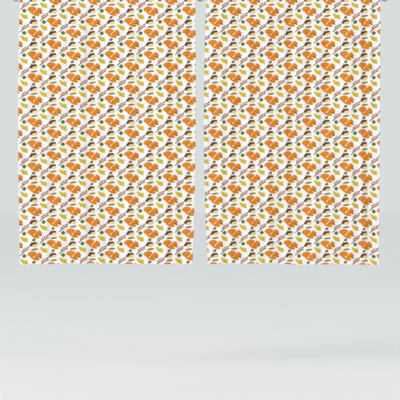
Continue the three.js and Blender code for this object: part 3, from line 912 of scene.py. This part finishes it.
plug = {
    "hole": 3.3 * mm,
    "inTube": 0.95 * mm,  # the sleeve's radius is less than the tube's by this
    "flange": 2 * mm,
    "easedEdge": 0.35 * mm,
    "ribs": 8,
    "ribDepth": 0.25 * mm,
}


def span(node, sign):
    # where a node starts and ends on its way out along the rod
    low, high, _ = box(node)
    return (low[0], high[0]) if sign > 0 else (-high[0], -low[0])


def addPlug(name, sign, body, radius):
    # a plug with crushed ribs along its sleeve, and a flange over the tube's end
    start, end = span(name + "_end_plug", sign)
    sleeve, hole = radius - plug["inTube"], plug["hole"]
    flange = end - plug["flange"]
    profile = [(hole, start), (sleeve, start), (sleeve, flange), (radius, flange), (radius, end), (hole, end)]

    def ribbed(r, h, angle):
        ribs = plug["ribDepth"] * (0.5 + 0.5 * np.cos(plug["ribs"] * angle))
        return r - np.where((r > hole + 1 * mm) & (h < flange - 0.2 * mm), ribs, 0)

    addTurned(name + "_plug", name + "_end_plug", body, rounded(profile, plug["easedEdge"], True), rodMiddle,
              "+x" if sign > 0 else "-x", greyLooks, 64, ribbed)


def screwThread(radius, pitch, deep, start, end):
    # the radius goes in and out along a helix, whose depth fades to nothing at both ends
    def shape(r, h, angle):
        wave = np.abs(((h / pitch + angle / turn) % 1) - 0.5) * 2
        fade = ease(h, start, start + pitch) * (1 - ease(h, end - pitch, end))
        return r - np.where(r > 0.3 * radius, deep * wave * fade, 0)
    return shape


finial = {
    "stud": 3 * mm,  # radii
    "hole": 3.3 * mm,
    "rim": 12 * mm,
    "neck": 6 * mm,
    "ball": 19 * mm,
    "pitch": 1 * mm,
    "threadDepth": 0.5 * mm,
    "studInBall": 14 * mm,
}


def addFinial(name, sign):
    # a threaded stud, a collar with a groove and a hollow sweep to its neck, and a ball
    def turned(label, profile, looks, steps=72, shape=None, closed=False):
        addTurned(name + label, name + "_finial" + label, name + "_finial", profile, rodMiddle,
                  "+x" if sign > 0 else "-x", looks, steps, shape, closed)

    start, end = span(name + "_finial_stud", sign)
    radius, pitch, hole = finial["stud"], finial["pitch"], finial["hole"]
    heights = np.arange(start + 0.5 * mm, end - 0.5 * mm, pitch / 6)
    profile = [(0, start), (radius - 0.6 * mm, start)] + [(radius, h) for h in heights] \
        + [(radius - 0.6 * mm, end), (0, end)]
    turned("_stud", profile, zincLooks, 36, screwThread(radius, pitch, finial["threadDepth"], start, end))
    start, end = span(name + "_finial_collar", sign)
    rim, neck = finial["rim"], finial["neck"]
    groove = [(rim, start + 1 * mm), (rim, start + 1.5 * mm), (rim - 0.5 * mm, start + 1.8 * mm),
              (rim - 0.5 * mm, start + 2.1 * mm), (rim, start + 2.4 * mm), (rim, start + 3.2 * mm)]
    t = np.linspace(0, 1, 14) * math.pi / 2
    sweep = np.stack([rim - 1 * mm - (rim - neck - 1.5 * mm) * np.sin(t) ** 0.9,
                      start + 4 * mm + (end - start - 4 * mm) * (1 - np.cos(t))], -1)
    profile = [(hole, start), (rim - 1 * mm, start), *groove, (rim - 0.6 * mm, start + 4 * mm),
               *sweep.tolist(), (hole, end)]
    turned("_collar", rounded(profile, 0.3 * mm, True, 2), nickelLooks, closed=True)
    start, end = span(name + "_finial_ball", sign)
    ball, deep = finial["ball"], start + finial["studInBall"]
    arc = np.linspace(math.asin(neck / ball), math.pi, 40)
    sphere = np.stack([ball * np.sin(arc), end - ball - ball * np.cos(arc)], -1)
    sphere[-1, 0] = 0
    profile = [(0, deep), (hole, deep), (hole, start), (7 * mm, start), (7.3 * mm, start + 0.5 * mm),
               (7.3 * mm, start + 1.1 * mm), (6.6 * mm, start + 1.6 * mm), *sphere.tolist()]
    turned("_ball", profile, nickelLooks)


def addHardware():
    low, high, _ = box("inner_tube")
    outer, inner = rod["radius"], (high[2] - low[2]) / 2
    addTube("rod_tube", "outer_tube", "rod", 80)
    addTube("rod_inner_tube", "inner_tube", "inner_rod", 72)
    addBush(outer, inner)
    for name, sign, body, radius in (("left", -1, "rod", outer), ("right", 1, "inner_rod", inner)):
        addPlug(name, sign, body, radius)
        addFinial(name, sign)


plate = {"plateEdge": 0.25 * mm, "cradleEdge": 0.4 * mm, "sharp": math.radians(38)}


def cadCopy(name, node, bevel):
    # a merged copy of a node, with its flat faces joined so that its edges take a small bevel
    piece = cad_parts[node].copy()
    piece.data = piece.data.copy()
    piece.name = name
    for key in list(piece.keys()):
        del piece[key]
    piece.parent = None
    piece.hide_render = piece.hide_viewport = False
    show(piece)
    work = bmesh.new()
    work.from_mesh(piece.data)
    bmesh.ops.remove_doubles(work, verts=work.verts, dist=1e-6)
    bmesh.ops.dissolve_limit(work, angle_limit=math.radians(1), verts=work.verts, edges=work.edges)
    for f in work.faces:
        f.smooth = True
    work.to_mesh(piece.data)
    work.free()
    piece.data.materials.clear()
    edges = piece.modifiers.new("eased_edges", "BEVEL")
    edges.width = bevel
    edges.segments = 2
    edges.angle_limit = plate["sharp"]
    edges.use_clamp_overlap = True
    edges.harden_normals = True
    piece.data.set_sharp_from_angle(angle=plate["sharp"])
    attach(piece, "wall_brackets", [node], "rod_metal", nickelPlate)


arm = {"radius": 5 * mm, "flareLong": 9 * mm, "flare": 2.2 * mm, "flange": 4 * mm}


def addArm(name):
    # a round bar that flares into a stepped flange against the wall plate
    low, high, middle = box(name + "_arm")
    seat, tip = high[1], low[1]
    stem, rim = arm["radius"], (high[0] - low[0]) / 2
    t = np.linspace(0, 1, 9)
    flare = np.stack([stem + arm["flare"] * t ** 2.4, seat - arm["flareLong"] + 5 * mm * t], -1)
    profile = [(0, tip), (stem - 0.4 * mm, tip), (stem, tip + 0.4 * mm), *flare.tolist(),
               (rim - 1.6 * mm, seat - arm["flange"]), (rim - 0.4 * mm, seat - 3.4 * mm),
               (rim, seat - 2.4 * mm), (rim, seat - 0.4 * mm), (rim - 0.4 * mm, seat), (0, seat)]
    addTurned(name + "_stem", name + "_arm", "wall_brackets", profile, (middle[0], 0, 0), "+y",
              nickelLooks, closed=False, sharp=50)


thumbScrew = {
    "shank": 2 * mm,  # radius
    "pitch": 0.7 * mm,
    "threadDepth": 0.32 * mm,
    "headTall": 7 * mm,
    "scallops": 10,
    "scallopDepth": 0.55 * mm,
}


def addClampScrew(name):
    # a thumb screw: a scalloped head with rounded shoulders under a threaded shank
    low, high, middle = box(name + "_clamp_screw")
    head, shank, pitch = (high[0] - low[0]) / 2, thumbScrew["shank"], thumbScrew["pitch"]
    bottom, top = low[2], high[2]
    shoulder = bottom + thumbScrew["headTall"]
    threadStart = shoulder + 0.8 * mm
    heights = np.arange(threadStart, top - 0.5 * mm, pitch / 6)
    profile = [(0, bottom), (head - 2.2 * mm, bottom), (head - 1.6 * mm, bottom + 0.25 * mm),
               (head, bottom + 1 * mm), (head, shoulder - 1 * mm), (head - 1 * mm, shoulder),
               (3.2 * mm, shoulder), (3 * mm, shoulder + 0.5 * mm), (shank, shoulder + 0.7 * mm)] \
        + [(shank, h) for h in heights] + [(shank - 0.4 * mm, top), (0, top)]
    winding = screwThread(shank, pitch, thumbScrew["threadDepth"], threadStart, top)

    def shape(r, h, angle):
        cut = (0.5 - 0.5 * np.cos(thumbScrew["scallops"] * angle)) ** 0.7 * thumbScrew["scallopDepth"]
        r = r - np.where((r > head - 1.2 * mm) & (h < shoulder + 0.1 * mm), cut, 0)
        return np.where(h > shoulder + 0.6 * mm, winding(r, h, angle), r)

    addTurned(name + "_thumb_screw", name + "_clamp_screw", name + "_clamp", profile,
              middle * [1, 1, 0], "+z", zincLooks, 80, shape, False)


woodScrew = {
    "shank": 2 * mm,  # radius
    "headTall": 2.2 * mm,
    "pitch": 1.8 * mm,
    "threadDepth": 0.62 * mm,
    "point": 3 * mm,
    "crossWide": 0.55 * mm,  # half the recess
    "crossLong": 2.2 * mm,
    "crossDeep": 1.3 * mm,
}


def addWoodScrew(label):
    # a countersunk head with a cross recess, and a thread that ends in a point
    low, high, middle = box(label + "_screw")
    shank, pitch, point = woodScrew["shank"], woodScrew["pitch"], woodScrew["point"]
    rim, face, tip = (high[0] - low[0]) / 2, low[1], high[1]
    neck = face + woodScrew["headTall"]
    heights = np.arange(neck + 3 * mm, tip - point, pitch / 8)
    cone = 1 - np.linspace(0, 1, 8)[1:-1]
    profile = [(rim * t, face) for t in np.linspace(0, 0.9, 18)] + [(rim, face + 0.15 * mm), (shank, neck)] \
        + [(shank, h) for h in heights] + [(shank * t + 0.2 * mm, tip - point * t) for t in cone] + [(0, tip)]
    winding = screwThread(shank, pitch, woodScrew["threadDepth"], neck + 3 * mm, tip - 1 * mm)

    def shape(r, h, angle):
        return np.where(h > neck + 0.5 * mm, winding(r, h, angle), r)

    piece = lathe(label + "_wood_screw", profile, middle * [1, 0, 1], "+y", 48, shape)
    sinkCross(piece, middle, face)
    attach(piece, "wall_brackets", [label + "_screw"], *zincLooks)


wallPlug = {
    "bore": 2.3 * mm,
    "ribs": 7,
    "ribDepth": 0.6 * mm,
    "slots": 4,
    "slotDepth": 0.5 * mm,
    "slotWidth": 0.10,  # in radians
}


def addWallPlug(label):
    # a sleeve with barbed ribs and shallow slots along it, so that it can spread
    low, high, _ = box(label + "_wall_plug")
    mouth, end, bore, radius = low[1], high[1], wallPlug["bore"], (high[0] - low[0]) / 2
    core = radius - wallPlug["ribDepth"]
    rib = (end - mouth - 4 * mm) / wallPlug["ribs"]
    profile = [(bore, mouth), (radius, mouth), (radius, mouth + 1.2 * mm), (core, mouth + 1.6 * mm)]
    for k in range(wallPlug["ribs"]):
        base = mouth + 3 * mm + k * rib
        profile += [(core, base), (radius, base + rib * 0.65), (core, base + rib * 0.8)]
    profile += [(radius - 0.7 * mm, end), (bore, end)]

    def split(r, h, angle):
        slots = wallPlug["slots"]
        away = np.abs(((angle / turn * slots + 0.5) % 1) - 0.5) * turn / slots
        slot = wallPlug["slotDepth"] * np.exp(-(away / wallPlug["slotWidth"]) ** 2)
        return r - np.where((r > bore + 0.4 * mm) & (h > mouth + 2 * mm), slot, 0)

    addTurned(label + "_plug", label + "_wall_plug", "wall_brackets", profile,
              box(label + "_screw")[2] * [1, 0, 1], "+y", ("white_nylon", whiteNylon), shape=split)


def sinkCross(screw, middle, face):
    # the head's flat top is pressed in along a cross with tapered walls
    count = len(screw.data.vertices)
    points = np.empty(count * 3)
    screw.data.vertices.foreach_get("co", points)
    points = points.reshape(-1, 3)
    away = np.abs(points[:, [0, 2]] - middle[[0, 2]])
    wide, long, deep = woodScrew["crossWide"], woodScrew["crossLong"], woodScrew["crossDeep"]

    def bar(a, b):
        return (1 - ease(a, wide * 0.6, wide * 1.5)) * (1 - ease(b, long * 0.75, long))

    cross = np.maximum(bar(away[:, 0], away[:, 1]), bar(away[:, 1], away[:, 0]))
    points[:, 1] += np.where(points[:, 1] < face + 0.05 * mm, deep * cross, 0)
    screw.data.vertices.foreach_set("co", points.ravel())


def addBracket(name):
    cadCopy(name + "_plate", name + "_wall_plate", plate["plateEdge"])
    cadCopy(name + "_rod_cradle", name + "_cradle", plate["cradleEdge"])
    addArm(name)
    addClampScrew(name)
    for spot in ("_upper", "_lower"):
        addWoodScrew(name + spot)
        addWallPlug(name + spot)


addHardware()
print("rod and finials made")
for name in ("left", "centre", "right"):
    addBracket(name)
print("brackets made")
for name in panels:
    addPanel(name)


studio = {
    "distance": 5.0,  # from the camera to the cloth
    "height": -0.745,
    "aside": -0.0009,
    "lens": 127.6,
    "floor": -1.36,
    "floorSize": 60.0,
    "room": rgb(216, 221, 221),
    "lamp": (1.0, 0.86, 0.88),
    "aim": (0, 0, -0.5),
    # each light's place, size and power
    "lights": {"key": ((-5.4, -4.4, 2.4), 2.4, 152.0), "fill": ((5.2, -4.6, 1.2), 3.0, 71.0)},
}


def paleFinish(name, colour):
    paint = Paint(name, Roughness=0.9)
    tone = paint.noise(paint.objectPlace(), 3.0)
    return paint.finish(Base_Color=paint.mix(colour, rgb(242, 243, 244), tone * 0.3))


def addStudio():
    points = np.array([(-1, -1, 0), (1, -1, 0), (1, 1, 0), (-1, 1, 0)], float) * studio["floorSize"]
    points[:, 2] = studio["floor"]
    floor = makePiece("studio_floor", points, [(0, 1, 2, 3)])
    floor.data.materials.append(paleFinish("pale_floor", rgb(250, 250, 250)))
    world = bpy.data.worlds.new("pale_room")
    world.use_nodes = True
    background = world.node_tree.nodes["Background"]
    background.inputs[0].default_value = studio["room"]
    bpy.context.scene.world = world


def addLight(name, spot, size, power):
    light = bpy.data.lights.new(name, "AREA")
    light.shape = "DISK"
    light.size = size
    light.energy = power
    light.color = studio["lamp"]
    lamp = show(bpy.data.objects.new(name, light))
    lamp.location = spot
    lamp.rotation_euler = (Vector(studio["aim"]) - Vector(spot)).to_track_quat("-Z", "Y").to_euler()


def addCamera():
    lens = bpy.data.cameras.new("camera")
    lens.lens = studio["lens"]
    lens.sensor_width = 36.0
    camera = show(bpy.data.objects.new("camera", lens))
    camera.location = (studio["aside"], rod["y"] - studio["distance"], studio["height"])
    camera.rotation_euler = (math.pi / 2, 0, 0)
    bpy.context.scene.camera = camera
    bpy.context.scene.view_settings.view_transform = "Standard"


addStudio()
for name, light in studio["lights"].items():
    addLight(name, *light)
addCamera()
print("studio made")
